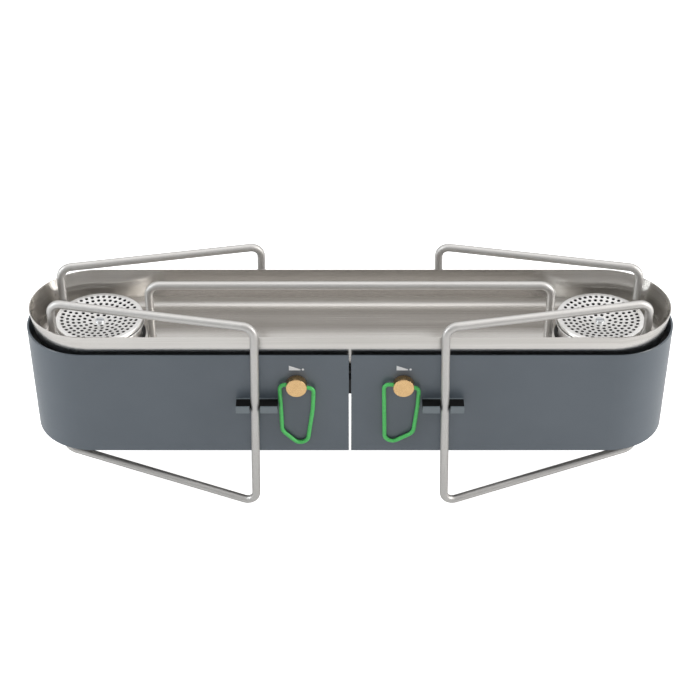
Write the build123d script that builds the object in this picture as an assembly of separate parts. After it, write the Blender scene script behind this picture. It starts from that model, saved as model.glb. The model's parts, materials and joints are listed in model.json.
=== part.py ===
from build123d import *
import math
import os

# A two-burner camping stove. Origin on the ground under its centre, +X to the right along its
# length, -Y to the front (the side with the knobs), +Z up. All sizes are in millimetres.

# Driving dimensions ---------------------------------------------------------------------------
BODY_LENGTH = 494.0
BODY_WIDTH = 97.4
BODY_BOTTOM = 47.5
BODY_TOP = 136.7
BODY_SHEET = 1.5
BODY_SLIT = 1.7

TRAY_LENGTH = 488.0
TRAY_WIDTH = 95.0
TRAY_RIM = 152.2
TRAY_FLOOR = 122.6
TRAY_FLOOR_HALF = 42.4
TRAY_SHEET = 0.8
TRAY_BEND = 4.5

CHASSIS_SHEET = 1.5
CHASSIS_FLANGE = 12.0
FLANGE_START = 62.0
FLANGE_END = 186.0
BRACKET_Z = 54.0
BRACKET_SHEET = 2.0
BRACKET_EDGE = 205.0

WIRE_R = 3.175
GRATE_Z = 167.5
BEND_R = 8.5
PIVOT = (223.0, 24.6)
GATE_CORNER = (69.7, 56.8)
GATE_FOOT_IN = 4.0
GATE_FOOT_Z = 1.32
GATE_BOTTOM_Z = 32.0
CENTRE_LEG_X = 152.6
CENTRE_LEG_END = 119.0
RUN_CLEARANCE = 0.05

SHELF_X = 70.1
SHELF_WIDTH = 31.2
SHELF_TOP = 98.0
SHELF_HEIGHT = 5.8
SHELF_DEPTH = 11.6
SHELF_SHEET = 1.2
NOTCH_WIDTH = 8.0
NOTCH_BACK = 52.6

BURNER_X = 191.7
BURNER_TOP = 139.1
BURNER_R = 33.6
CUP_R = 31.2
CUP_BOTTOM = 95.0
CUP_SHEET = 0.8
PLATE_SHEET = 0.8
PORT_R = 1.35
PORT_RINGS = ((7.6, 10), (11.8, 16), (16.0, 22), (20.2, 28), (24.4, 34), (28.6, 40))
DISH_DEPTH = 3.6
DISH_R = 30.2
DISH_FLAT_R = 5.0
TUBE_R = 7.0
TUBE_INNER = 98.0
GAS_Z = 111.6
PIPE_R = 2.5

KNOB_X = 40.1
KNOB_R = 7.8
KNOB_FRONT = 55.5
KNOB_BACK = 49.1
SPINDLE_R = 3.0
HANDLE_R = 1.5
HANDLE_TURN = 9.0
HANDLE_LEAN = 1.9
# Corners of each handle in its own plane, first along the cross hole and then down from it,
# with the radius of each bend.
HANDLE_LEFT = ((-12.8, 0, 3.9), (-4.8, -44.3, 8.5), (16.1, -60.1, 6.3), (15.2, -19.5, 20), (13, 0, 3.9))
HANDLE_RIGHT = ((-14.9, 0, 3.9), (-4.3, -59.2, 6.3), (15.1, -43, 8), (13.7, -16.2, 20), (11.7, 0, 3.9))

MANIFOLD_HALF = 7.0
MANIFOLD_Y = 23.0
MANIFOLD_Z = 61.0
INLET_R = 6.5
INLET_STUB_R = 6.0
INLET_END = 60.0
VALVE_R = 7.0
VALVE_FRONT = 44.0
VALVE_BACK = 12.0
VALVE_INLET_Y = 28.0

# Small sizes used by one or two pieces --------------------------------------------------------
PIVOT_HOLE_GAP = 0.4
PLATE_GAP = 0.1
BUSH_R = 4.6
BUSH_FLANGE = 1.5
BUSH_FLANGE_R = 5.2
UPPER_BUSH_LOW = 113.7
LOWER_BUSH_LOW = 52.0
COLLAR_LOW = 48.2
COLLAR_HIGH = 51.5
COLLAR_R = 5.5
BRACKET_TAB_HALF = 14.0
PAD_DROP = 0.3
RIVET_R = 1.2
RIVET_Z = 95.4
RIVET_SPREAD = 10.5
RIVET_HEAD = 0.9
RIVET_HEAD_R = 1.9
GROMMET_R = 4.6
SPINDLE_GAP = 0.35
RIM_HEIGHT = 2.2
BEAD_GAP = 1.2
BEAD_HEIGHT = 1.3
BEAD_R = 34.1
BEAD_ROUND = 0.4
RIM_ROUND = 0.7
PORT_STAGGER = 7.0
POST_R = 4.0
CUP_GAP = 0.3
TRAY_HOLE_R = 34.2
CUP_LIP = 1.3
BURNER_SCREW_R = 1.5
BURNER_SCREW_HEAD_R = 3.4
BURNER_SCREW_ROUND = 0.4
SCREW_DEPTH = 5.0
SCREW_HEAD = 1.2
SCREW_R = 1.5
SCREW_HEAD_R = 2.8
SCREW_SLOT = 0.8
TUBE_SHEET = 0.8
JET_X = 78.0
JET_R = 4.0
JET_BORE_R = 0.4
BOSS_R = 4.5
VALVE_INLET_LOW = 98.0
GLAND_R = 4.5
GLAND_FRONT = 46.9
GLAND_SHANK = 40.0
GLAND_DEEP = 38.0
SEAT_Y = 19.0
SEAT_R = 1.5
NEEDLE_START = 24.0
NEEDLE_TIP_R = 0.5
SPINDLE_FRONT = 54.3
KNOB_ROUND = 0.4
PIPE_SOCKET = 3.0
PIPE_BEND = 9.0
PIPE_NUT = 5.5
PIPE_NUT_FLATS = 10.0
JET_NUT = 8.0
INLET_BORE_R = 3.0
INLET_NUT_THICK = 3.5
STUD_R = 2.0
STUD_Z = 115.5
STUD_LENGTH = 8.0

# Worked out from the above --------------------------------------------------------------------
BODY_HALF = BODY_WIDTH / 2
BODY_INNER = BODY_HALF - BODY_SHEET
BODY_STRAIGHT = BODY_LENGTH - BODY_WIDTH
TRAY_STRAIGHT = TRAY_LENGTH - TRAY_WIDTH
CHASSIS_TOP = TRAY_FLOOR - TRAY_SHEET
CHASSIS_BOTTOM = CHASSIS_TOP - CHASSIS_SHEET
GATE_ANGLE = math.atan2(GATE_CORNER[1] - PIVOT[1], PIVOT[0] - GATE_CORNER[0])
GATE_REACH = math.hypot(GATE_CORNER[1] - PIVOT[1], PIVOT[0] - GATE_CORNER[0])
GATE_FOOT_REACH = GATE_REACH - GATE_FOOT_IN
KNOB_Y = (KNOB_FRONT + KNOB_BACK) / 2
DISH_Z = BURNER_TOP - DISH_DEPTH
SIDES = (("left", -1), ("right", 1))
CORNERS = (
    ("front_left", -1, -1),
    ("front_right", 1, -1),
    ("rear_left", -1, 1),
    ("rear_right", 1, 1),
)


def write(node, shape):
    """One STEP file per named sub-part."""
    export_step(shape, f"parts/{node}.step")


def rod(start, end, radius):
    """A round bar between two points."""
    start, end = Vector(*start), Vector(*end)
    along = end - start
    face = Plane(origin=start, z_dir=along) * Circle(radius)
    return extrude(face, amount=along.length)


def pipe(start, end, outer, inner):
    """A straight tube or a ring between two points."""
    return rod(start, end, outer) - rod(start, end, inner)


def hexagon(start, end, across_flats, bore):
    """A hexagon nut or collar with a round bore."""
    start, end = Vector(*start), Vector(*end)
    along = end - start
    outline = RegularPolygon(across_flats / 2, 6, major_radius=False) - Circle(bore)
    return extrude(Plane(origin=start, z_dir=along) * outline, amount=along.length)


def block(low, high):
    """A box between two corners."""
    size = [h - l for l, h in zip(low, high)]
    centre = [(h + l) / 2 for l, h in zip(low, high)]
    return Pos(*centre) * Box(*size)


def stadium(straight, half_width, low, high):
    """A solid with a racetrack outline."""
    outline = SlotCenterToCenter(straight, 2 * half_width)
    return extrude(Pos(0, 0, low) * outline, amount=high - low)


def bent_rod(points, bends, radius):
    """A round bar along straight runs joined by arcs."""
    path = FilletPolyline(*points, radius=bends)
    start = Plane(origin=path @ 0, z_dir=path % 0)
    return sweep(start * Circle(radius), path=path)


def mirrored(shape, side_x, side_y=1):
    """A shape made for the right rear, put on another side."""
    if side_x < 0:
        shape = shape.mirror(Plane.YZ)
    if side_y < 0:
        shape = shape.mirror(Plane.XZ)
    return shape


# Body and tray --------------------------------------------------------------------------------
def body_shell():
    """A strip on edge, bent to a racetrack, with its ends meeting in a slit at the front."""
    shell = stadium(BODY_STRAIGHT, BODY_HALF, BODY_BOTTOM, BODY_TOP)
    shell -= stadium(BODY_STRAIGHT, BODY_INNER, BODY_BOTTOM - 1, BODY_TOP + 1)
    slit = BODY_SLIT / 2
    shell -= block((-slit, -BODY_HALF - 1, BODY_BOTTOM - 1), (slit, -BODY_INNER + 1, BODY_TOP + 1))
    for _, side in SIDES:
        x = side * KNOB_X
        shell -= rod((x, -BODY_HALF - 1, GAS_Z), (x, -BODY_INNER + 1, GAS_Z), GROMMET_R)
    shell -= rod((0, BODY_INNER - 1, MANIFOLD_Z), (0, BODY_HALF + 1, MANIFOLD_Z), INLET_R)
    for x, face, z in rivet_places():
        shell -= rod((x, face * (BODY_INNER - 1), z), (x, face * (BODY_HALF + 1), z), RIVET_R)
    return shell


def tray_cavity(floor_z, floor_half, rim_half, bend):
    """The flared racetrack solid that fills the tray, with its lower edge rounded."""
    floor = Pos(0, 0, floor_z) * SlotCenterToCenter(TRAY_STRAIGHT, 2 * floor_half)
    rim = Pos(0, 0, TRAY_RIM) * SlotCenterToCenter(TRAY_STRAIGHT, 2 * rim_half)
    solid = loft([floor, rim], ruled=True)
    low_edges = solid.edges().filter_by(lambda edge: edge.center().Z < floor_z + 0.01)
    return fillet(low_edges, bend)


def drip_tray():
    """The stainless tray: flared wall, flat floor, holes for burners, gates and centre support."""
    slope = (TRAY_WIDTH / 2 - TRAY_FLOOR_HALF) / (TRAY_RIM - CHASSIS_TOP)
    wall = TRAY_SHEET * math.hypot(1, slope)
    inner_floor_half = TRAY_FLOOR_HALF + slope * TRAY_SHEET - wall
    outer = tray_cavity(CHASSIS_TOP, TRAY_FLOOR_HALF, TRAY_WIDTH / 2, TRAY_BEND + TRAY_SHEET)
    inner = tray_cavity(TRAY_FLOOR, inner_floor_half, TRAY_WIDTH / 2 - wall, TRAY_BEND)
    return drilled(outer - inner, CHASSIS_TOP - 1, TRAY_FLOOR + 4, TRAY_HOLE_R)


def drilled(plate, low, high, burner_hole):
    """Cuts the holes that tray and chassis plate both have: burners, gate pivots, centre support."""
    for _, side in SIDES:
        plate -= rod((side * BURNER_X, 0, low), (side * BURNER_X, 0, high), burner_hole)
        plate -= rod((side * CENTRE_LEG_X, 0, low), (side * CENTRE_LEG_X, 0, high), WIRE_R)
    for _, side_x, side_y in CORNERS:
        x, y = side_x * PIVOT[0], side_y * PIVOT[1]
        plate -= rod((x, y, low), (x, y, high), WIRE_R + PIVOT_HOLE_GAP)
    return plate


def chassis_plate():
    """The black plate under the tray, with flanges folded down along the front and rear."""
    outer = BODY_INNER - PLATE_GAP
    plate = stadium(BODY_STRAIGHT, outer, CHASSIS_BOTTOM, CHASSIS_TOP)
    flange_low = CHASSIS_TOP - CHASSIS_FLANGE
    for _, side in SIDES:
        ends = sorted((side * FLANGE_START, side * FLANGE_END))
        for face in (-1, 1):
            walls = sorted((face * outer, face * (outer - CHASSIS_SHEET)))
            plate += block((ends[0], walls[0], flange_low), (ends[1], walls[1], CHASSIS_TOP))
        screw = (side * KNOB_X, -VALVE_INLET_Y)
        plate -= rod((*screw, CHASSIS_BOTTOM - 1), (*screw, CHASSIS_TOP + 1), SCREW_R)
        plate -= rod((*screw, CHASSIS_BOTTOM), (*screw, CHASSIS_TOP + 1), SCREW_HEAD_R)
    plate = drilled(plate, CHASSIS_BOTTOM - 1, CHASSIS_TOP + 1, CUP_R + CUP_GAP)
    for x, face in stud_places():
        plate -= rod((x, face * (BODY_INNER + 1), STUD_Z), (x, face * (BODY_INNER - 4), STUD_Z), STUD_R)
    return plate


def end_bracket(side):
    """A plate low in one rounded end, which carries the lower bushes of two gates."""
    plate = stadium(BODY_STRAIGHT, BODY_INNER - PLATE_GAP, BRACKET_Z, BRACKET_Z + BRACKET_SHEET)
    plate &= block((BRACKET_EDGE, -BODY_HALF, BRACKET_Z - 1), (BODY_LENGTH, BODY_HALF, BRACKET_Z + 9))
    stiffener = block(
        (BRACKET_EDGE, -BRACKET_TAB_HALF, BRACKET_Z),
        (BRACKET_EDGE + BRACKET_SHEET, BRACKET_TAB_HALF, BRACKET_Z + 10),
    )
    plate += stiffener
    for face in (-1, 1):
        place = (PIVOT[0], face * PIVOT[1])
        plate -= rod((*place, BRACKET_Z - 1), (*place, BRACKET_Z + 9), BUSH_R)
    return mirrored(plate, side)


# Gates ----------------------------------------------------------------------------------------
def gate_plane():
    """The upright plane of the right rear gate: x along the gate from its pivot, y up."""
    along = Vector(-math.cos(GATE_ANGLE), math.sin(GATE_ANGLE), 0)
    return Plane(origin=(*PIVOT, 0), x_dir=along, z_dir=along.cross(Vector(0, 0, 1)))


def gate():
    """One closed loop of wire: pivot leg, top run, outer leg with its foot, sloping lower run."""
    corners = (
        (0, GRATE_Z),
        (GATE_REACH, GRATE_Z),
        (GATE_FOOT_REACH, GATE_FOOT_Z),
        (0, GATE_BOTTOM_Z),
    )
    plane = gate_plane()
    points = [plane.from_local_coords(Vector(*corner, 0)) for corner in corners]
    return loop_rod(FilletPolyline(*points, radius=BEND_R, close=True), WIRE_R)


def loop_rod(path, radius):
    """A round bar along a closed path, made edge by edge so that every run and bend is exact."""
    pieces = []
    for edge in path.edges():
        start = Plane(origin=edge @ 0, z_dir=edge % 0)
        pieces.append(sweep(start * Circle(radius), path=edge))
    solid = pieces[0]
    for piece in pieces[1:]:
        solid += piece
    return solid


def gate_collar():
    """The ring fixed on a gate's pivot leg, on which the end bracket's bush rests."""
    return pipe((*PIVOT, COLLAR_LOW), (*PIVOT, COLLAR_HIGH), COLLAR_R, WIRE_R)


def upper_bush():
    """A flanged sleeve under the chassis plate that guides a gate's pivot leg."""
    sleeve = rod((*PIVOT, UPPER_BUSH_LOW), (*PIVOT, CHASSIS_BOTTOM), BUSH_R)
    sleeve += rod((*PIVOT, CHASSIS_BOTTOM - BUSH_FLANGE), (*PIVOT, CHASSIS_BOTTOM), BUSH_FLANGE_R)
    bore = WIRE_R + RUN_CLEARANCE
    return sleeve - rod((*PIVOT, UPPER_BUSH_LOW - 1), (*PIVOT, CHASSIS_BOTTOM + 1), bore)


def lower_bush():
    """A flanged sleeve in the end bracket that guides the same leg low down."""
    top = BRACKET_Z + BRACKET_SHEET + BUSH_FLANGE
    sleeve = rod((*PIVOT, LOWER_BUSH_LOW), (*PIVOT, top), BUSH_R)
    sleeve += rod((*PIVOT, BRACKET_Z + BRACKET_SHEET), (*PIVOT, top), BUSH_FLANGE_R)
    return sleeve - rod((*PIVOT, LOWER_BUSH_LOW - 1), (*PIVOT, top + 1), WIRE_R + RUN_CLEARANCE)


def centre_support():
    """The upturned U of wire along the middle of the tray."""
    points = (
        (-CENTRE_LEG_X, 0, CENTRE_LEG_END),
        (-CENTRE_LEG_X, 0, GRATE_Z),
        (CENTRE_LEG_X, 0, GRATE_Z),
        (CENTRE_LEG_X, 0, CENTRE_LEG_END),
    )
    return bent_rod(points, BEND_R, WIRE_R)


# Latches --------------------------------------------------------------------------------------
def leg_x():
    """How far from the middle the outer leg of a gate is at the height of its latch."""
    share = (GRATE_Z - (SHELF_TOP - SHELF_HEIGHT / 2)) / (GRATE_Z - GATE_FOOT_Z)
    return PIVOT[0] - (GATE_REACH - share * GATE_FOOT_IN) * math.cos(GATE_ANGLE)


def latch_notch():
    """The notch that a gate's outer leg swings into."""
    x = leg_x()
    half = NOTCH_WIDTH / 2
    slot = block((x - half, NOTCH_BACK + half, 0), (x + half, BODY_HALF + SHELF_DEPTH + 1, GRATE_Z))
    return slot + rod((x, NOTCH_BACK + half, 0), (x, NOTCH_BACK + half, GRATE_Z), half)


def latch_bracket():
    """A folded channel riveted to the panel: back, floor and front lip."""
    low, high = SHELF_X - SHELF_WIDTH / 2, SHELF_X + SHELF_WIDTH / 2
    bottom = SHELF_TOP - SHELF_HEIGHT
    front = BODY_HALF + SHELF_DEPTH
    channel = block((low, BODY_HALF, bottom), (high, front, SHELF_TOP))
    channel -= block(
        (low - 1, BODY_HALF + SHELF_SHEET, bottom + SHELF_SHEET),
        (high + 1, front - SHELF_SHEET, SHELF_TOP + 1),
    )
    channel -= latch_notch()
    for x in rivet_columns():
        channel -= rod((x, BODY_HALF - 1, RIVET_Z), (x, BODY_HALF + SHELF_SHEET + 1, RIVET_Z), RIVET_R)
    return channel


def latch_pad():
    """The black pad that fills the channel and grips the gate's leg."""
    low, high = SHELF_X - SHELF_WIDTH / 2, SHELF_X + SHELF_WIDTH / 2
    back = BODY_HALF + SHELF_SHEET
    front = BODY_HALF + SHELF_DEPTH - SHELF_SHEET
    floor = SHELF_TOP - SHELF_HEIGHT + SHELF_SHEET
    pad = block((low, back, floor), (high, front, SHELF_TOP - PAD_DROP))
    pad -= latch_notch()
    for x in rivet_columns():
        pad -= rod((x, back - 1, RIVET_Z), (x, back + RIVET_HEAD, RIVET_Z), RIVET_HEAD_R)
    return pad


def rivet_columns():
    """The two rivets of a latch bracket, as distances from the middle of the stove."""
    return (SHELF_X - RIVET_SPREAD, SHELF_X + RIVET_SPREAD)


def rivet_places():
    """Every latch rivet as (x, side of the body, height)."""
    return [(side_x * x, side_y, RIVET_Z) for _, side_x, side_y in CORNERS for x in rivet_columns()]


def latch_rivets():
    """Rivets with a head in the channel and another inside the shell, as separate solids."""
    rivets = []
    for x, face, z in rivet_places():
        seat = BODY_HALF + SHELF_SHEET
        ends = (BODY_INNER - RIVET_HEAD, BODY_INNER, seat, seat + RIVET_HEAD)
        tail, inner_seat, outer_seat, head = [(x, face * y, z) for y in ends]
        rivet = rod(tail, head, RIVET_R)
        rivet += rod(tail, inner_seat, RIVET_HEAD_R)
        rivet += rod(outer_seat, head, RIVET_HEAD_R)
        rivets.append(rivet)
    return Compound(rivets)


# Burners --------------------------------------------------------------------------------------
def burner_cup():
    """The drawn cup under a burner plate, with a bead round its side and a hole for the tube."""
    top = BURNER_TOP - PLATE_SHEET
    cup = rod((BURNER_X, 0, CUP_BOTTOM), (BURNER_X, 0, top), CUP_R)
    bead_top = BURNER_TOP - RIM_HEIGHT - BEAD_GAP
    bead = rod((BURNER_X, 0, bead_top - BEAD_HEIGHT), (BURNER_X, 0, bead_top), BEAD_R)
    cup += fillet(bead.edges().filter_by(GeomType.CIRCLE), BEAD_ROUND)
    cup += rod((BURNER_X, 0, CHASSIS_BOTTOM - 1.2), (BURNER_X, 0, CHASSIS_BOTTOM), CUP_R + CUP_LIP)
    cup -= rod((BURNER_X, 0, CUP_BOTTOM + CUP_SHEET), (BURNER_X, 0, top + 1), CUP_R - CUP_SHEET)
    cup -= rod((BURNER_X - CUP_R - 2, 0, GAS_Z), (BURNER_X - CUP_R + 4, 0, GAS_Z), TUBE_R)
    post_top = DISH_Z - PLATE_SHEET
    post = rod((BURNER_X, 0, CUP_BOTTOM), (BURNER_X, 0, post_top), POST_R)
    return cup + post - rod((BURNER_X, 0, post_top - SCREW_DEPTH), (BURNER_X, 0, top), BURNER_SCREW_R)


def burner_plate():
    """The perforated plate: dished towards its middle, with its edge rolled down over the cup."""
    low = BURNER_TOP - PLATE_SHEET
    rim_low = BURNER_TOP - RIM_HEIGHT
    profile = Polyline(
        (0, 0, DISH_Z),
        (DISH_FLAT_R, 0, DISH_Z),
        (DISH_R, 0, BURNER_TOP),
        (BURNER_R, 0, BURNER_TOP),
        (BURNER_R, 0, rim_low),
        (BURNER_R - PLATE_SHEET, 0, rim_low),
        (BURNER_R - PLATE_SHEET, 0, low),
        (DISH_R, 0, low),
        (DISH_FLAT_R, 0, DISH_Z - PLATE_SHEET),
        (0, 0, DISH_Z - PLATE_SHEET),
        close=True,
    )
    plate = revolve(make_face(profile), Axis.Z)
    outer_edges = [edge for edge in plate.edges().filter_by(GeomType.CIRCLE) if edge.radius > BURNER_R - 0.01]
    plate = fillet(max(outer_edges, key=lambda edge: edge.center().Z), RIM_ROUND)
    holes = Circle(BURNER_SCREW_R)
    for ring, (radius, count) in enumerate(PORT_RINGS):
        turn = ring * PORT_STAGGER
        holes += PolarLocations(radius, count, start_angle=turn) * Circle(PORT_R)
    plate -= extrude(Pos(0, 0, DISH_Z - 2) * holes, amount=DISH_DEPTH + 3)
    return Pos(BURNER_X, 0, 0) * plate


def burner_screw():
    """The slotted screw in the middle of a burner plate."""
    head_top = DISH_Z + SCREW_HEAD
    head = rod((BURNER_X, 0, DISH_Z), (BURNER_X, 0, head_top), BURNER_SCREW_HEAD_R)
    top_edge = max(head.edges().filter_by(GeomType.CIRCLE), key=lambda edge: edge.center().Z)
    head = fillet(top_edge, BURNER_SCREW_ROUND)
    shank_end = DISH_Z - PLATE_SHEET - SCREW_DEPTH
    screw = head + rod((BURNER_X, 0, shank_end), (BURNER_X, 0, DISH_Z), BURNER_SCREW_R)
    slot_low = DISH_Z + SCREW_HEAD / 2
    low = (BURNER_X - BURNER_SCREW_HEAD_R, -SCREW_SLOT / 2, slot_low)
    high = (BURNER_X + BURNER_SCREW_HEAD_R, SCREW_SLOT / 2, head_top + 1)
    return screw - block(low, high)


def mixing_tube():
    """The straight tube that mixes gas and air, with a flared mouth towards the jet."""
    mouth, end = TUBE_INNER, BURNER_X - CUP_R + CUP_SHEET
    tube = pipe((mouth, 0, GAS_Z), (end, 0, GAS_Z), TUBE_R, TUBE_R - TUBE_SHEET)
    collar = pipe((mouth, 0, GAS_Z), (mouth + 2, 0, GAS_Z), TUBE_R + 1.5, TUBE_R - TUBE_SHEET)
    return tube + collar


def jet_bracket():
    """A folded strap under the chassis plate that holds the jet in line with the tube."""
    strap = block((JET_X, -9, GAS_Z - 9), (JET_X + CHASSIS_SHEET, 9, CHASSIS_BOTTOM))
    strap += block((JET_X, -9, CHASSIS_BOTTOM - CHASSIS_SHEET), (JET_X + 12, 9, CHASSIS_BOTTOM))
    return strap - rod((JET_X - 1, 0, GAS_Z), (JET_X + 3, 0, GAS_Z), JET_R)


def jet_holder():
    """The brass elbow end that clamps in the bracket and receives the jet pipe."""
    front = JET_X + CHASSIS_SHEET
    holder = hexagon((JET_X - JET_NUT, 0, GAS_Z), (JET_X, 0, GAS_Z), PIPE_NUT_FLATS, PIPE_R)
    holder += pipe((JET_X, 0, GAS_Z), (front + 3, 0, GAS_Z), JET_R, PIPE_R)
    return holder


def gas_jet():
    """The nozzle screwed into the holder, with its fine bore."""
    front = JET_X + CHASSIS_SHEET + 3
    nozzle = rod((front - 4, 0, GAS_Z), (front, 0, GAS_Z), PIPE_R)
    nozzle += hexagon((front, 0, GAS_Z), (front + 4, 0, GAS_Z), 7, JET_BORE_R)
    return nozzle - rod((front - 5, 0, GAS_Z), (front + 5, 0, GAS_Z), JET_BORE_R)


# Gas train ------------------------------------------------------------------------------------
def valve_body():
    """The brass needle valve: barrel, fixing boss on top, inlet boss below, outlet at the rear."""
    x, y = KNOB_X, -VALVE_INLET_Y
    body = rod((x, -VALVE_FRONT, GAS_Z), (x, -VALVE_BACK, GAS_Z), VALVE_R)
    body += rod((x, y, GAS_Z), (x, y, CHASSIS_BOTTOM), BOSS_R)
    body += rod((x, y, VALVE_INLET_LOW), (x, y, GAS_Z), BOSS_R)
    body -= rod((x, -VALVE_FRONT - 1, GAS_Z), (x, -GLAND_DEEP, GAS_Z), GLAND_R)
    body -= rod((x, -VALVE_FRONT - 1, GAS_Z), (x, -SEAT_Y, GAS_Z), SPINDLE_R + SPINDLE_GAP)
    body -= rod((x, -SEAT_Y - 1, GAS_Z), (x, -VALVE_BACK + 1, GAS_Z), SEAT_R)
    body -= rod((x, -VALVE_BACK - PIPE_SOCKET, GAS_Z), (x, -VALVE_BACK + 1, GAS_Z), PIPE_R)
    body -= rod((x, y, VALVE_INLET_LOW - 1), (x, y, GAS_Z), SEAT_R)
    body -= rod((x, y, VALVE_INLET_LOW - 1), (x, y, VALVE_INLET_LOW + PIPE_SOCKET), PIPE_R)
    return body - rod((x, y, CHASSIS_BOTTOM - SCREW_DEPTH), (x, y, CHASSIS_BOTTOM + 1), SCREW_R)


def gland_nut():
    """The hexagon nut that closes the valve and guides the spindle."""
    bore = SPINDLE_R + RUN_CLEARANCE
    nut = hexagon((KNOB_X, -GLAND_FRONT, GAS_Z), (KNOB_X, -VALVE_FRONT, GAS_Z), 12, bore)
    shank = pipe((KNOB_X, -VALVE_FRONT, GAS_Z), (KNOB_X, -GLAND_SHANK, GAS_Z), GLAND_R, bore)
    return nut + shank


def valve_seals():
    """The two sealing rings packed under the gland nuts, as separate solids."""
    rings = []
    for _, side in SIDES:
        x = side * KNOB_X
        bore = SPINDLE_R + SPINDLE_GAP
        rings.append(pipe((x, -GLAND_SHANK, GAS_Z), (x, -GLAND_DEEP, GAS_Z), GLAND_R, bore))
    return Compound(rings)


def panel_grommets():
    """Black rings that line the holes in the panel behind the knobs, as separate solids."""
    rings = []
    for _, side in SIDES:
        x = side * KNOB_X
        bore = SPINDLE_R + SPINDLE_GAP
        rings.append(pipe((x, -BODY_HALF, GAS_Z), (x, -BODY_INNER, GAS_Z), GROMMET_R, bore))
    return Compound(rings)


def valve_screws():
    """Countersunk screws through the chassis plate into the valve bosses, as separate solids."""
    screws = []
    for _, side in SIDES:
        x, y = side * KNOB_X, -VALVE_INLET_Y
        screw = rod((x, y, CHASSIS_BOTTOM - SCREW_DEPTH), (x, y, CHASSIS_TOP), SCREW_R)
        screws.append(screw + rod((x, y, CHASSIS_BOTTOM), (x, y, CHASSIS_TOP), SCREW_HEAD_R))
    return Compound(screws)


def feed_pipe():
    """Gas pipe from the manifold, forward and up to the valve's inlet."""
    points = (
        (MANIFOLD_HALF - PIPE_SOCKET, MANIFOLD_Y, MANIFOLD_Z),
        (KNOB_X, MANIFOLD_Y, MANIFOLD_Z),
        (KNOB_X, -VALVE_INLET_Y, MANIFOLD_Z),
        (KNOB_X, -VALVE_INLET_Y, VALVE_INLET_LOW + PIPE_SOCKET),
    )
    return bent_rod(points, PIPE_BEND, PIPE_R)


def jet_pipe():
    """Gas pipe from the valve's outlet, round a quarter turn to the jet holder."""
    points = (
        (KNOB_X, -VALVE_BACK - PIPE_SOCKET, GAS_Z),
        (KNOB_X, 0, GAS_Z),
        (JET_X - 2, 0, GAS_Z),
    )
    return bent_rod(points, PIPE_BEND, PIPE_R)


def pipe_nuts():
    """Union nuts where the pipes meet the manifold, the valves and the jets, as separate solids."""
    nuts = []
    for _, side in SIDES:
        at_manifold = [(side * x, MANIFOLD_Y, MANIFOLD_Z) for x in (MANIFOLD_HALF, MANIFOLD_HALF + PIPE_NUT)]
        at_valve = [(side * KNOB_X, -VALVE_INLET_Y, z) for z in (VALVE_INLET_LOW - PIPE_NUT, VALVE_INLET_LOW)]
        at_jet = [(side * (JET_X - x), 0, GAS_Z) for x in (JET_NUT + PIPE_NUT, JET_NUT)]
        for start, end in (at_manifold, at_valve, at_jet):
            nuts.append(hexagon(start, end, PIPE_NUT_FLATS, PIPE_R))
    return Compound(nuts)


def manifold():
    """The black block that splits the gas between the two burners."""
    h = MANIFOLD_HALF
    solid = block((-h, MANIFOLD_Y - h, MANIFOLD_Z - h), (h, MANIFOLD_Y + h, MANIFOLD_Z + h))
    solid -= rod((-h - 1, MANIFOLD_Y, MANIFOLD_Z), (h + 1, MANIFOLD_Y, MANIFOLD_Z), SEAT_R)
    for _, side in SIDES:
        deep = side * (h - PIPE_SOCKET)
        solid -= rod((deep, MANIFOLD_Y, MANIFOLD_Z), (side * (h + 1), MANIFOLD_Y, MANIFOLD_Z), PIPE_R)
    return solid - rod((0, MANIFOLD_Y, MANIFOLD_Z), (0, MANIFOLD_Y + h + 1, MANIFOLD_Z), INLET_BORE_R)


def gas_inlet():
    """The inlet fitting: hexagon inside the rear wall and a threaded stub outside it."""
    start = MANIFOLD_Y + MANIFOLD_HALF
    thread_end = BODY_HALF + INLET_NUT_THICK + 0.5
    stub = rod((0, BODY_INNER, MANIFOLD_Z), (0, thread_end, MANIFOLD_Z), INLET_R)
    stub += rod((0, thread_end, MANIFOLD_Z), (0, INLET_END, MANIFOLD_Z), INLET_STUB_R)
    stub += rod((0, start, MANIFOLD_Z), (0, BODY_INNER, MANIFOLD_Z), INLET_R - 1)
    stub += hexagon((0, BODY_INNER - 5, MANIFOLD_Z), (0, BODY_INNER, MANIFOLD_Z), 17, INLET_BORE_R)
    return stub - rod((0, start - 1, MANIFOLD_Z), (0, INLET_END + 1, MANIFOLD_Z), INLET_BORE_R)


def inlet_nut():
    """The lock nut that clamps the inlet fitting to the rear wall."""
    return hexagon((0, BODY_HALF, MANIFOLD_Z), (0, BODY_HALF + INLET_NUT_THICK, MANIFOLD_Z), 19, INLET_R)


# Fasteners ------------------------------------------------------------------------------------
def stud_places():
    """The studs that hold the chassis flanges, as (x, side of the body)."""
    spread = (FLANGE_START + 18, FLANGE_END - 14)
    return [(side * x, face) for _, side in SIDES for face in (-1, 1) for x in spread]


def weld_studs():
    """Studs welded to the inside of the shell, so that none shows outside."""
    reach = BODY_INNER - STUD_LENGTH
    studs = []
    for x, face in stud_places():
        studs.append(rod((x, face * reach, STUD_Z), (x, face * BODY_INNER, STUD_Z), STUD_R))
    return Compound(studs)


def stud_nuts():
    """Nuts on those studs."""
    seat = BODY_INNER - PLATE_GAP - CHASSIS_SHEET
    nuts = []
    for x, face in stud_places():
        nuts.append(hexagon((x, face * seat, STUD_Z), (x, face * (seat - 3.2), STUD_Z), 7, STUD_R))
    return Compound(nuts)


def support_clips():
    """Push-on washers under the chassis plate that keep the centre support in place."""
    clips = []
    for _, side in SIDES:
        x = side * CENTRE_LEG_X
        clips.append(pipe((x, 0, CHASSIS_BOTTOM - 1.5), (x, 0, CHASSIS_BOTTOM), 5.5, WIRE_R))
    return Compound(clips)


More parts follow.
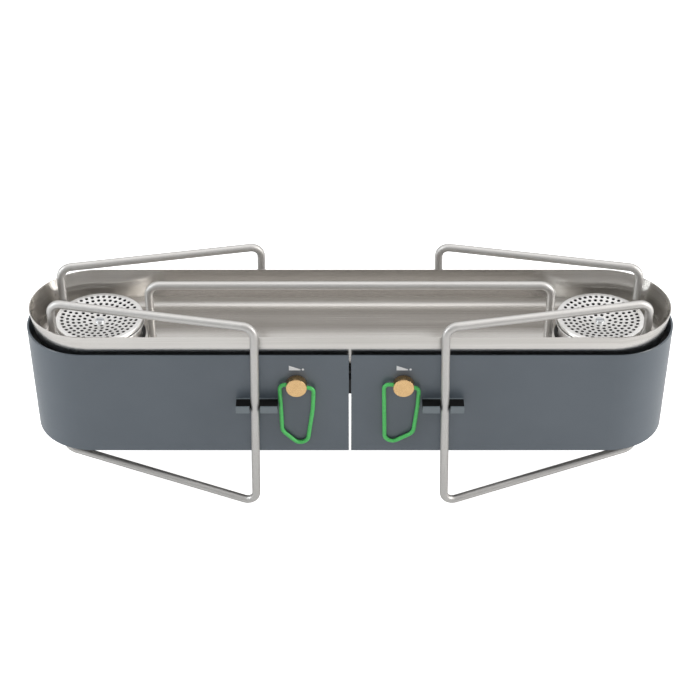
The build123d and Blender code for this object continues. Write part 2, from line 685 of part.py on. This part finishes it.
# Knobs and handles ----------------------------------------------------------------------------
def cross_direction():
    """The direction of the cross hole through either knob."""
    turn = math.radians(HANDLE_TURN)
    return Vector(math.cos(turn), 0, -math.sin(turn))


def cross_hole(side):
    """The drilling through knob and spindle in which the handle turns."""
    centre = Vector(side * KNOB_X, -KNOB_Y, GAS_Z)
    reach = cross_direction() * (KNOB_R + 2)
    return rod(centre - reach, centre + reach, HANDLE_R + RUN_CLEARANCE)


def knob(side):
    """The brass knob: a short cylinder with a small edge round, bored for the spindle."""
    x = side * KNOB_X
    body = rod((x, -KNOB_BACK, GAS_Z), (x, -KNOB_FRONT, GAS_Z), KNOB_R)
    front_edge = min(body.edges().filter_by(GeomType.CIRCLE), key=lambda edge: edge.center().Y)
    body = fillet(front_edge, KNOB_ROUND)
    body -= rod((x, -KNOB_BACK + 1, GAS_Z), (x, -SPINDLE_FRONT, GAS_Z), SPINDLE_R)
    return body - cross_hole(side)


def spindle(side):
    """The valve's spindle with its needle, fixed in the knob and drilled with it."""
    x = side * KNOB_X
    shaft = rod((x, -SPINDLE_FRONT, GAS_Z), (x, -NEEDLE_START, GAS_Z), SPINDLE_R)
    length = NEEDLE_START - SEAT_Y - 0.5
    middle = Plane(origin=(x, -NEEDLE_START + length / 2, GAS_Z), z_dir=(0, 1, 0))
    needle = middle * Cone(SPINDLE_R - 0.4, NEEDLE_TIP_R, length)
    return shaft + needle - cross_hole(side)


def handle(side, corners):
    """The closed wire handle that hangs in a knob's cross hole and leans on the panel."""
    across = cross_direction()
    centre = Vector(side * KNOB_X, -KNOB_Y, GAS_Z)
    plane = Plane(origin=centre, x_dir=across, z_dir=(0, -1, 0))
    points = [plane.from_local_coords(Vector(x, y, 0)) for x, y, _ in corners]
    bends = [bend for _, _, bend in corners]
    loop = loop_rod(FilletPolyline(*points, radius=bends, close=True), HANDLE_R)
    return loop.rotate(Axis(centre, across), HANDLE_LEAN)


def main():
    os.makedirs("parts", exist_ok=True)
    write("body_shell", body_shell())
    write("drip_tray", drip_tray())
    write("chassis_plate", chassis_plate())
    write("centre_support", centre_support())
    write("support_clips", support_clips())
    write("latch_rivets", latch_rivets())
    write("valve_seals", valve_seals())
    write("panel_grommets", panel_grommets())
    write("valve_screws", valve_screws())
    write("pipe_nuts", pipe_nuts())
    write("gas_manifold", manifold())
    write("gas_inlet", gas_inlet())
    write("inlet_nut", inlet_nut())
    write("weld_studs", weld_studs())
    write("stud_nuts", stud_nuts())
    write("upper_bushes", Compound([mirrored(upper_bush(), x, y) for _, x, y in CORNERS]))
    write("lower_bushes", Compound([mirrored(lower_bush(), x, y) for _, x, y in CORNERS]))
    write("latch_pads", Compound([mirrored(latch_pad(), x, y) for _, x, y in CORNERS]))
    for corner, side_x, side_y in CORNERS:
        write(f"gate_{corner}", mirrored(gate(), side_x, side_y))
        write(f"gate_collar_{corner}", mirrored(gate_collar(), side_x, side_y))
        write(f"latch_bracket_{corner}", mirrored(latch_bracket(), side_x, side_y))
    for name, side in SIDES:
        write(f"end_bracket_{name}", end_bracket(side))
        write(f"burner_cup_{name}", mirrored(burner_cup(), side))
        write(f"burner_plate_{name}", mirrored(burner_plate(), side))
        write(f"burner_screw_{name}", mirrored(burner_screw(), side))
        write(f"mixing_tube_{name}", mirrored(mixing_tube(), side))
        write(f"jet_bracket_{name}", mirrored(jet_bracket(), side))
        write(f"jet_holder_{name}", mirrored(jet_holder(), side))
        write(f"gas_jet_{name}", mirrored(gas_jet(), side))
        write(f"valve_body_{name}", mirrored(valve_body(), side))
        write(f"gland_nut_{name}", mirrored(gland_nut(), side))
        write(f"feed_pipe_{name}", mirrored(feed_pipe(), side))
        write(f"jet_pipe_{name}", mirrored(jet_pipe(), side))
        write(f"knob_{name}", knob(side))
        write(f"spindle_{name}", spindle(side))
    write("handle_left", handle(-1, HANDLE_LEFT))
    write("handle_right", handle(1, HANDLE_RIGHT))


main()
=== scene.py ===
"""Looks for the camping stove: studio, camera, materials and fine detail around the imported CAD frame."""

import json
import math

import bmesh
import bpy
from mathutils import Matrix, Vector


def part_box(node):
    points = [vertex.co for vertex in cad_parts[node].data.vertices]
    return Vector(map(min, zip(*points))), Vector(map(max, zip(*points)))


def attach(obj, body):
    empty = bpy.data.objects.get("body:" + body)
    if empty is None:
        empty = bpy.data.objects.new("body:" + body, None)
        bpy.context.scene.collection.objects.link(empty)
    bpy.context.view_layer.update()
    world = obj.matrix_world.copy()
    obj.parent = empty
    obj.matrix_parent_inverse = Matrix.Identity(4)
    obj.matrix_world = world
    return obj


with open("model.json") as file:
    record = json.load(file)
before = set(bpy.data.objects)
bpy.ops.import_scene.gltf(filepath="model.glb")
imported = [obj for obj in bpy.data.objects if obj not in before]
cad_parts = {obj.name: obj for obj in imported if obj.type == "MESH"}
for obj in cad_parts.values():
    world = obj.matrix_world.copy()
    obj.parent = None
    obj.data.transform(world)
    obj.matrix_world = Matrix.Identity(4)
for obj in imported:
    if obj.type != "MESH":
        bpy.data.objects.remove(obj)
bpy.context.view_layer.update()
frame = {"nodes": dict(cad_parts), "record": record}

MM = 0.001

# Camera: distance and elevation from the middle of the stove, and a short telephoto lens.
CAMERA_TARGET = Vector((0.0, 0.0, 0.1081))
CAMERA_DISTANCE = 1.2069
CAMERA_ELEVATION = math.radians(35.0)
LENS_MM = 79.9
SENSOR_MM = 36.0

# Half the length of the straight stretch of the racetrack, from which its two ends swing round.
BODY_LOW, BODY_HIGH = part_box("body_shell")
STRAIGHT_HALF = BODY_HIGH.x - BODY_HIGH.y


# --- Node helpers -----------------------------------------------------------------------------

def add(tree, kind, inputs=None, **settings):
    """A new shader node with its settings, and its inputs set to values or linked to sockets."""
    node = tree.nodes.new("ShaderNode" + kind)
    for name, value in settings.items():
        setattr(node, name, value)
    for name, value in (inputs or {}).items():
        if isinstance(value, bpy.types.NodeSocket):
            tree.links.new(value, node.inputs[name])
        else:
            node.inputs[name].default_value = value
    return node


def calculate(tree, operation, first, second=0.0):
    """One step of arithmetic, as a socket."""
    return add(tree, "Math", {0: first, 1: second}, operation=operation).outputs[0]


def length(tree, first, second):
    """The long side of the right triangle over two sides, as a socket."""
    squares = [calculate(tree, "MULTIPLY", side, side) for side in (first, second)]
    return calculate(tree, "SQRT", calculate(tree, "ADD", *squares))


def place(tree):
    """The point on the object in metres, in the stove's own frame."""
    return add(tree, "TexCoord").outputs["Object"]


def stretched(tree, vector, scale):
    """A vector scaled by three factors, to draw a pattern out along one way."""
    return add(tree, "VectorMath", {0: vector, 1: scale}, operation="MULTIPLY").outputs[0]


def noise(tree, vector, scale, detail=2.0, roughness=0.5):
    """Noise from 0 to 1 with features of about one over the scale, in metres."""
    inputs = {"Vector": vector, "Scale": scale, "Detail": detail, "Roughness": roughness}
    return add(tree, "TexNoise", inputs).outputs["Fac"]


def spread(tree, value, low, high, start=0.3, end=0.7):
    """A value between start and end, mapped to between low and high."""
    inputs = {"Value": value, "From Min": start, "From Max": end, "To Min": low, "To Max": high}
    return add(tree, "MapRange", inputs).outputs["Result"]


def blend_colors(tree, factor, first, second):
    """A colour between two, as a socket."""
    mixer = add(tree, "Mix", {0: factor, 6: (*first, 1.0), 7: (*second, 1.0)}, data_type="RGBA")
    return mixer.outputs[2]


def bump(tree, height, depth, strength=1.0, edge=0.0):
    """A normal from a height, with its depth in metres, over edges softened by that radius."""
    inputs = {"Height": height, "Distance": depth, "Strength": strength}
    if edge:
        inputs["Normal"] = add(tree, "Bevel", {"Radius": edge}, samples=4).outputs["Normal"]
    return add(tree, "Bump", inputs).outputs["Normal"]


def new_material(name, roughness, metallic=0.0, color=None):
    """A material, its tree and its main shader."""
    material = bpy.data.materials.new(name)
    material.use_nodes = True
    tree = material.node_tree
    shader = tree.nodes["Principled BSDF"]
    shader.inputs["Roughness"].default_value = roughness
    shader.inputs["Metallic"].default_value = metallic
    if color:
        shader.inputs["Base Color"].default_value = (*color, 1.0)
    return material, tree, shader


def connect(tree, shader, **sockets):
    """Links sockets to the shader's inputs, named with underscores for spaces."""
    for name, socket in sockets.items():
        tree.links.new(socket, shader.inputs[name.replace("_", " ")])


def racetrack(tree):
    """Where a point is along the racetrack, out from its middle line and up, and which way it runs."""
    x, y, z = add(tree, "SeparateXYZ", {0: place(tree)}).outputs
    middle = calculate(tree, "MINIMUM", calculate(tree, "MAXIMUM", x, -STRAIGHT_HALF), STRAIGHT_HALF)
    beyond = calculate(tree, "SUBTRACT", x, middle)
    out = length(tree, beyond, y)
    turn = calculate(tree, "ARCTAN2", beyond, calculate(tree, "ABSOLUTE", y))
    along = calculate(tree, "ADD", middle, calculate(tree, "MULTIPLY", turn, BODY_HIGH.y))
    backwards = calculate(tree, "MULTIPLY", y, -1.0)
    direction = add(tree, "CombineXYZ", {0: backwards, 1: beyond, 2: 0.0}).outputs[0]
    return along, out, z, direction


# --- Materials --------------------------------------------------------------------------------

PAINT_EDGE = 0.35 * MM         # rounding of painted sheet edges
TURNED_EDGE = 0.2 * MM         # rounding of turned and plated edges
CUP_INNER_R = 30.45 * MM       # inside of a burner cup
TRAY_FLOOR = 122.6 * MM        # height of the tray's floor
BEND_INSIDE = 36.5 * MM        # from the middle line out to where the tray's bend begins
BEND_DULLNESS = 0.35           # added to the tray's roughness in its bend

BURNER_LOW, BURNER_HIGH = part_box("burner_plate_right")
BURNER_X = (BURNER_LOW.x + BURNER_HIGH.x) / 2
CUP_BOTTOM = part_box("burner_cup_right")[0].z
PAINTED_SHADE_START = 0.4 * MM          # half the cup's sheet, up from its outside to where the painted shade begins
PAINTED_CUP_SHADE = (0.006, 0.005, 0.005, 1.0)

def satin_paint(name, dark, light):
    """Blue-grey satin powder coat: a fine orange peel, and the faintest clouding."""
    material, tree, shader = new_material(name, 0.36)
    shader.inputs["Specular IOR Level"].default_value = 0.6
    point = place(tree)
    clouds = noise(tree, point, 22.0, detail=3.0)
    color = blend_colors(tree, spread(tree, clouds, 0.0, 1.0), dark, light)
    peel = noise(tree, point, 1100.0, detail=2.0)
    grain = noise(tree, point, 4200.0, detail=1.0)
    height = calculate(tree, "ADD", peel, calculate(tree, "MULTIPLY", grain, 0.35))
    connect(tree, shader, Base_Color=color, Normal=bump(tree, height, 0.00002, 0.45, PAINT_EDGE),
            Roughness=spread(tree, peel, 0.31, 0.41))
    return material


def black_paint():
    """Matt black paint of the hidden frame."""
    material, tree, shader = new_material("black_paint", 0.6)
    point = place(tree)
    grain = noise(tree, point, 1600.0, detail=3.0)
    color = blend_colors(tree, spread(tree, grain, 0.0, 1.0), (0.008, 0.008, 0.009), (0.014, 0.014, 0.015))
    connect(tree, shader, Base_Color=color, Normal=bump(tree, grain, 0.00003, 0.4),
            Roughness=spread(tree, grain, 0.5, 0.68))
    return material


def tray_steel():
    """Stainless sheet, brushed along its length and round the ends, duller where it was bent."""
    material, tree, shader = new_material("tray_steel", 0.3, metallic=1.0)
    along, out, height, direction = racetrack(tree)
    strip = add(tree, "CombineXYZ", {0: along, 1: out, 2: height}).outputs[0]
    fine = noise(tree, stretched(tree, strip, (9.0, 2600.0, 2600.0)), 1.0, detail=3.0, roughness=0.7)
    bands = noise(tree, stretched(tree, strip, (1.6, 160.0, 160.0)), 1.0, detail=2.0)
    clouds = noise(tree, place(tree), 9.0, detail=2.0)
    bands_and_clouds = calculate(tree, "ADD", calculate(tree, "MULTIPLY", bands, 0.4),
                                 calculate(tree, "MULTIPLY", clouds, 0.15))
    shade = calculate(tree, "ADD", calculate(tree, "MULTIPLY", fine, 0.45), bands_and_clouds)
    lightness = spread(tree, shade, 0.0, 1.0, 0.35, 0.65)
    color = blend_colors(tree, lightness, (0.54, 0.518, 0.49), (0.73, 0.71, 0.685))
    shader.inputs["Anisotropic"].default_value = 0.55
    low_down = spread(tree, height, 1.0, 0.0, TRAY_FLOOR + 1 * MM, TRAY_FLOOR + 8 * MM)
    far_out = spread(tree, out, 0.0, 1.0, BEND_INSIDE, BEND_INSIDE + 2 * MM)
    bend = calculate(tree, "MULTIPLY", low_down, far_out)
    brushed = spread(tree, shade, 0.17, 0.28, 0.35, 0.65)
    rough = calculate(tree, "ADD", brushed, calculate(tree, "MULTIPLY", bend, BEND_DULLNESS))
    connect(tree, shader, Base_Color=color, Tangent=direction, Normal=bump(tree, fine, 0.000012, 0.35),
            Roughness=rough)
    return material


def wire_steel():
    """Satin drawn wire: a fine even grain and slight changes of shine."""
    material, tree, shader = new_material("wire_steel", 0.38, metallic=1.0)
    point = place(tree)
    grain = noise(tree, point, 2300.0, detail=3.0, roughness=0.6)
    patches = noise(tree, point, 60.0, detail=2.0)
    color = blend_colors(tree, spread(tree, grain, 0.0, 1.0), (0.50, 0.487, 0.472), (0.62, 0.607, 0.59))
    connect(tree, shader, Base_Color=color, Normal=bump(tree, grain, 0.00003, 0.5),
            Roughness=spread(tree, patches, 0.44, 0.54))
    return material


def burner_steel(name, painted_shade_inside):
    """Pressed stainless with a soft satin face, painted black inside the cup as painted shade."""
    material, tree, shader = new_material(name, 0.36, metallic=1.0)
    point = place(tree)
    grain = noise(tree, point, 1900.0, detail=2.0)
    patches = noise(tree, point, 90.0, detail=2.0)
    color = blend_colors(tree, spread(tree, patches, 0.0, 1.0), (0.80, 0.79, 0.77), (0.88, 0.87, 0.86))
    rough = spread(tree, patches, 0.3, 0.4)
    if painted_shade_inside:
        # Painted shade: inside the cup, above its bottom sheet, the colour goes near black and the surface matt.
        x, y, z = add(tree, "SeparateXYZ", {0: point}).outputs
        across = calculate(tree, "SUBTRACT", calculate(tree, "ABSOLUTE", x), BURNER_X)
        within = calculate(tree, "LESS_THAN", length(tree, across, y), CUP_INNER_R)
        above = calculate(tree, "GREATER_THAN", z, CUP_BOTTOM + PAINTED_SHADE_START)
        inside = calculate(tree, "MULTIPLY", within, above)
        color = add(tree, "Mix", {0: inside, 6: color, 7: PAINTED_CUP_SHADE}, data_type="RGBA").outputs[2]
        rough = calculate(tree, "MAXIMUM", rough, calculate(tree, "MULTIPLY", inside, 0.9))
    connect(tree, shader, Base_Color=color, Normal=bump(tree, grain, 0.00002, 0.4), Roughness=rough)
    return material


def tube_aluminium():
    """Drawn aluminium tube with lines along it."""
    material, tree, shader = new_material("tube_aluminium", 0.4, metallic=1.0)
    lines = noise(tree, stretched(tree, place(tree), (30.0, 1500.0, 1500.0)), 1.0, detail=2.0)
    color = blend_colors(tree, spread(tree, lines, 0.0, 1.0), (0.60, 0.60, 0.61), (0.74, 0.74, 0.75))
    connect(tree, shader, Base_Color=color, Normal=bump(tree, lines, 0.00002, 0.4),
            Roughness=spread(tree, lines, 0.34, 0.46))
    return material


def turned_brass(name, dark, light, roughness):
    """Turned brass or bronze with fine tool marks."""
    material, tree, shader = new_material(name, roughness, metallic=1.0)
    point = place(tree)
    marks = noise(tree, stretched(tree, point, (900.0, 2600.0, 900.0)), 1.0, detail=2.0)
    tarnish = noise(tree, point, 160.0, detail=3.0)
    color = blend_colors(tree, spread(tree, tarnish, 0.0, 1.0), dark, light)
    connect(tree, shader, Base_Color=color, Normal=bump(tree, marks, 0.00001, 0.35, TURNED_EDGE),
            Roughness=spread(tree, marks, roughness - 0.06, roughness + 0.06))
    return material


def pipe_copper():
    """Drawn copper pipe, a little tarnished."""
    material, tree, shader = new_material("pipe_copper", 0.34, metallic=1.0)
    point = place(tree)
    tarnish = noise(tree, point, 110.0, detail=4.0)
    color = blend_colors(tree, spread(tree, tarnish, 0.0, 1.0), (0.42, 0.19, 0.11), (0.76, 0.40, 0.28))
    connect(tree, shader, Base_Color=color, Normal=bump(tree, noise(tree, point, 1500.0), 0.00001, 0.3),
            Roughness=spread(tree, tarnish, 0.26, 0.46))
    return material


def green_coating():
    """Bright green dip coating on wire: smooth, a little soft in its gloss."""
    material, tree, shader = new_material("green_coating", 0.36)
    point = place(tree)
    flow = noise(tree, point, 420.0, detail=2.0)
    color = blend_colors(tree, spread(tree, flow, 0.0, 1.0), (0.055, 0.43, 0.090), (0.075, 0.50, 0.115))
    connect(tree, shader, Base_Color=color, Normal=bump(tree, flow, 0.00005, 0.35),
            Roughness=spread(tree, flow, 0.3, 0.42))
    return material


def black_rubber():
    """Matt black rubber with a fine moulded grain."""
    material, tree, shader = new_material("black_rubber", 0.8)
    shader.inputs["Specular IOR Level"].default_value = 0.2
    grain = noise(tree, place(tree), 2100.0, detail=2.0)
    color = blend_colors(tree, spread(tree, grain, 0.0, 1.0), (0.0025, 0.0025, 0.0025), (0.0050, 0.0050, 0.0055))
    connect(tree, shader, Base_Color=color, Normal=bump(tree, grain, 0.00004, 0.5),
            Roughness=spread(tree, grain, 0.72, 0.88))
    return material


def fastener_steel():
    """Bright zinc plate on nuts, rivets and screws."""
    material, tree, shader = new_material("fastener_steel", 0.3, metallic=1.0)
    point = place(tree)
    bloom = noise(tree, point, 300.0, detail=3.0)
    color = blend_colors(tree, spread(tree, bloom, 0.0, 1.0), (0.52, 0.53, 0.55), (0.70, 0.71, 0.72))
    connect(tree, shader, Base_Color=color, Roughness=spread(tree, bloom, 0.24, 0.4),
            Normal=bump(tree, noise(tree, point, 1800.0), 0.00001, 0.3, TURNED_EDGE))
    return material


def mark_print():
    """Light grey printing ink, a little uneven."""
    material, tree, shader = new_material("mark_print", 0.5)
    grain = noise(tree, place(tree), 3000.0, detail=2.0)
    color = blend_colors(tree, spread(tree, grain, 0.0, 1.0), (0.60, 0.61, 0.62), (0.72, 0.73, 0.74))
    connect(tree, shader, Base_Color=color, Roughness=spread(tree, grain, 0.45, 0.6))
    return material


MATERIALS = {
    "body_paint": satin_paint("body_paint", (0.083, 0.102, 0.122), (0.092, 0.111, 0.132)),
    # a lighter copy of the body's blue-grey paint, as painted light on the latch brackets' lips
    "latch_paint_painted_light": satin_paint("latch_paint_painted_light", (0.126, 0.152, 0.168), (0.138, 0.164, 0.180)),
    "black_paint": black_paint(),
    "tray_steel": tray_steel(),
    "wire_steel": wire_steel(),
    "burner_steel": burner_steel("burner_steel", painted_shade_inside=False),
    "cup_steel": burner_steel("cup_steel", painted_shade_inside=True),
    "tube_aluminium": tube_aluminium(),
    "knob_brass": turned_brass("knob_brass", (0.66, 0.43, 0.21), (0.74, 0.495, 0.245), 0.30),
    "fitting_brass": turned_brass("fitting_brass", (0.58, 0.41, 0.18), (0.74, 0.56, 0.27), 0.32),
    "pipe_copper": pipe_copper(),
    "green_coating": green_coating(),
    "black_rubber": black_rubber(),
    "fastener_steel": fastener_steel(),
}


# latch brackets take the lighter copy of the body paint (painted light); burner cups take steel with painted
# shade inside
SPECIAL_MATERIALS = {"latch_bracket": "latch_paint_painted_light", "burner_cup": "cup_steel"}


def paint_nodes():
    """Gives each CAD node the material of its slot in the record, or its own where it has one."""
    for subpart in frame["record"]["subparts"]:
        name = subpart["node"]
        kind = subpart["material_slot"]
        for start, special in SPECIAL_MATERIALS.items():
            if name.startswith(start):
                kind = special
        node = frame["nodes"][name]
        node.data.materials.clear()
        node.data.materials.append(MATERIALS[kind])


# --- Pieces that only the looks have ----------------------------------------------------------

MARK_LIFT = 0.05 * MM          # thickness of the printing ink
MARK_RISE = 4.3 * MM           # from the knob's top up to the mark's foot
WEDGE = [(-5.4, 0.0), (3.2, 0.0), (3.2, 0.9), (-5.4, 4.2)]
DOT_CENTRE = (5.0, 0.75)
DOT_RADIUS = 0.9
DOT_SIDES = 24


def make_piece(name, shape, material):
    """Turns a finished bmesh into a piece that rides on the body, with that material."""
    bmesh.ops.recalc_face_normals(shape, faces=shape.faces)
    mesh = bpy.data.meshes.new(name)
    shape.to_mesh(mesh)
    shape.free()
    piece = bpy.data.objects.new(name, mesh)
    bpy.context.scene.collection.objects.link(piece)
    piece.data.materials.append(material)
    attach(piece, "body")


def plate(shape, outline, centre_x, foot_z, front_y):
    """Adds a thin flat plate with that outline in millimetres, standing on the front panel."""
    rings = []
    for y in (front_y, front_y - MARK_LIFT):
        rings.append([shape.verts.new((centre_x + u * MM, y, foot_z + v * MM)) for u, v in outline])
    shape.faces.new(rings[0])
    shape.faces.new(list(reversed(rings[1])))
    count = len(outline)
    for i in range(count):
        j = (i + 1) % count
        shape.faces.new((rings[0][j], rings[0][i], rings[1][i], rings[1][j]))


def flame_mark(side):
    """The printed flame sizes above a knob: a wedge that narrows to a dot."""
    low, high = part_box("knob_" + side)
    centre_x = (low.x + high.x) / 2
    foot_z = high.z + MARK_RISE
    turns = [2 * math.pi * i / DOT_SIDES for i in range(DOT_SIDES)]
    dot = [(DOT_CENTRE[0] + DOT_RADIUS * math.cos(t), DOT_CENTRE[1] + DOT_RADIUS * math.sin(t)) for t in turns]
    shape = bmesh.new()
    plate(shape, WEDGE, centre_x, foot_z, BODY_LOW.y)
    plate(shape, dot, centre_x, foot_z, BODY_LOW.y)
    make_piece("flame_mark_" + side, shape, MARK_PRINT)


THREAD_DEPTH = 0.35 * MM
THREAD_PITCH = 1.25 * MM
THREAD_STEPS = 48              # corners per turn
THREAD_SINK = 0.05 * MM        # how far the ridge reaches into the plain stub
THREAD_FLANK = 0.42            # half the ridge's foot, in pitches
THREAD_END_GAP = 0.6           # plain end of the stub, in pitches
INLET_STUB_R = 6.0 * MM


def inlet_thread():
    """The ridge of the screw thread round the gas inlet's stub."""
    low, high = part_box("gas_inlet")
    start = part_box("inlet_nut")[1].y + THREAD_PITCH
    turns = (high.y - start) / THREAD_PITCH - THREAD_END_GAP
    centre_z = (low.z + high.z) / 2
    count = int(turns * THREAD_STEPS)
    shape = bmesh.new()
    foot = INLET_STUB_R - THREAD_SINK
    half = THREAD_PITCH * THREAD_FLANK
    loops = []
    for i in range(count + 1):
        angle = 2 * math.pi * i / THREAD_STEPS
        middle = start + THREAD_PITCH * i / THREAD_STEPS
        taper = min(1.0, i / THREAD_STEPS, (count - i) / THREAD_STEPS)
        crest = INLET_STUB_R + THREAD_DEPTH * taper
        corners = ((foot, middle - half), (crest, middle), (foot, middle + half))
        across, up = math.cos(angle), math.sin(angle)
        loops.append([shape.verts.new((r * across, y, centre_z + r * up)) for r, y in corners])
    for first, second in zip(loops, loops[1:]):
        for i in range(3):
            j = (i + 1) % 3
            shape.faces.new((first[i], first[j], second[j], second[i]))
    shape.faces.new(loops[0])
    shape.faces.new(list(reversed(loops[-1])))
    make_piece("inlet_thread", shape, MATERIALS["fitting_brass"])


MARK_PRINT = mark_print()


# --- Studio -----------------------------------------------------------------------------------

FLOOR_RADIUS = 7.0
FLOOR_SIDES = 96


def studio_floor():
    """A plain pale floor under the feet, lit to white for the eye and less for what it reflects in."""
    bpy.ops.mesh.primitive_circle_add(vertices=FLOOR_SIDES, radius=FLOOR_RADIUS, fill_type="NGON")
    floor = bpy.context.object
    floor.name = "studio_floor"
    material, tree, shader = new_material("studio_floor", 0.9, color=(0.7, 0.7, 0.7))
    shader.inputs["Specular IOR Level"].default_value = 0.0
    shader.inputs["Emission Color"].default_value = (1.0, 1.0, 1.0, 1.0)
    seen = add(tree, "LightPath").outputs["Is Camera Ray"]
    connect(tree, shader, Emission_Strength=spread(tree, seen, 0.15, 1.0, 0.0, 1.0))
    floor.data.materials.append(material)


def softbox(name, place_at, aim_at, width, height, power, color=(1.0, 1.0, 1.0)):
    """A rectangular soft light, turned to face a point."""
    light = bpy.data.lights.new(name, "AREA")
    light.shape = "RECTANGLE"
    light.size = width
    light.size_y = height
    light.energy = power
    light.color = color
    lamp = bpy.data.objects.new(name, light)
    lamp.location = place_at
    lamp.rotation_euler = (Vector(aim_at) - Vector(place_at)).to_track_quat("-Z", "Y").to_euler()
    bpy.context.scene.collection.objects.link(lamp)


def studio_world():
    """White to the camera; as light, bright high up and behind, greyer low down and in front."""
    world = bpy.data.worlds.new("studio")
    bpy.context.scene.world = world
    world.use_nodes = True
    tree = world.node_tree
    tree.nodes.clear()
    _, y, z = add(tree, "SeparateXYZ", {0: add(tree, "TexCoord").outputs["Generated"]}).outputs
    behind = spread(tree, y, 0.55, 1.0, -1.0, 0.8)
    high_up = spread(tree, z, 0.42, 1.0, 0.0, 0.5)
    strength = calculate(tree, "MULTIPLY", behind, high_up)
    light = add(tree, "Background", {"Color": (1.0, 1.0, 1.0, 1.0), "Strength": strength})
    white = add(tree, "Background", {"Color": (1.0, 1.0, 1.0, 1.0), "Strength": 1.0})
    seen = add(tree, "LightPath").outputs["Is Camera Ray"]
    mixer = add(tree, "MixShader", {0: seen, 1: light.outputs[0], 2: white.outputs[0]})
    add(tree, "OutputWorld", {"Surface": mixer.outputs[0]})


def studio_lights():
    """One large softbox overhead and one strip at each side, the right one stronger."""
    middle = (0.0, 0.0, 0.1)
    softbox("top_softbox", (0.0, 0.25, 1.7), middle, 2.2, 1.3, 8.0)
    softbox("left_strip", (-1.5, -0.35, 0.8), middle, 0.5, 1.4, 11.0, (0.92, 0.97, 1.0))
    softbox("right_strip", (1.5, -0.35, 0.8), middle, 0.5, 1.4, 17.0, (1.0, 0.99, 0.97))


def studio_camera():
    """The camera: in front, without roll, looking down on the stove."""
    camera = bpy.data.cameras.new("camera")
    camera.lens = LENS_MM
    camera.sensor_width = SENSOR_MM
    view = bpy.data.objects.new("camera", camera)
    back = Vector((0.0, -math.cos(CAMERA_ELEVATION), math.sin(CAMERA_ELEVATION)))
    view.location = CAMERA_TARGET + back * CAMERA_DISTANCE
    view.rotation_euler = (-back).to_track_quat("-Z", "Y").to_euler()
    bpy.context.scene.collection.objects.link(view)
    bpy.context.scene.camera = view


def main():
    """Dresses the frame and sets the studio up around it."""
    scene = bpy.context.scene
    scene.view_settings.view_transform = "Standard"
    studio_camera()
    studio_world()
    studio_lights()
    studio_floor()
    paint_nodes()
    for side in ("left", "right"):
        flame_mark(side)
    inlet_thread()
    bpy.context.view_layer.update()


main()
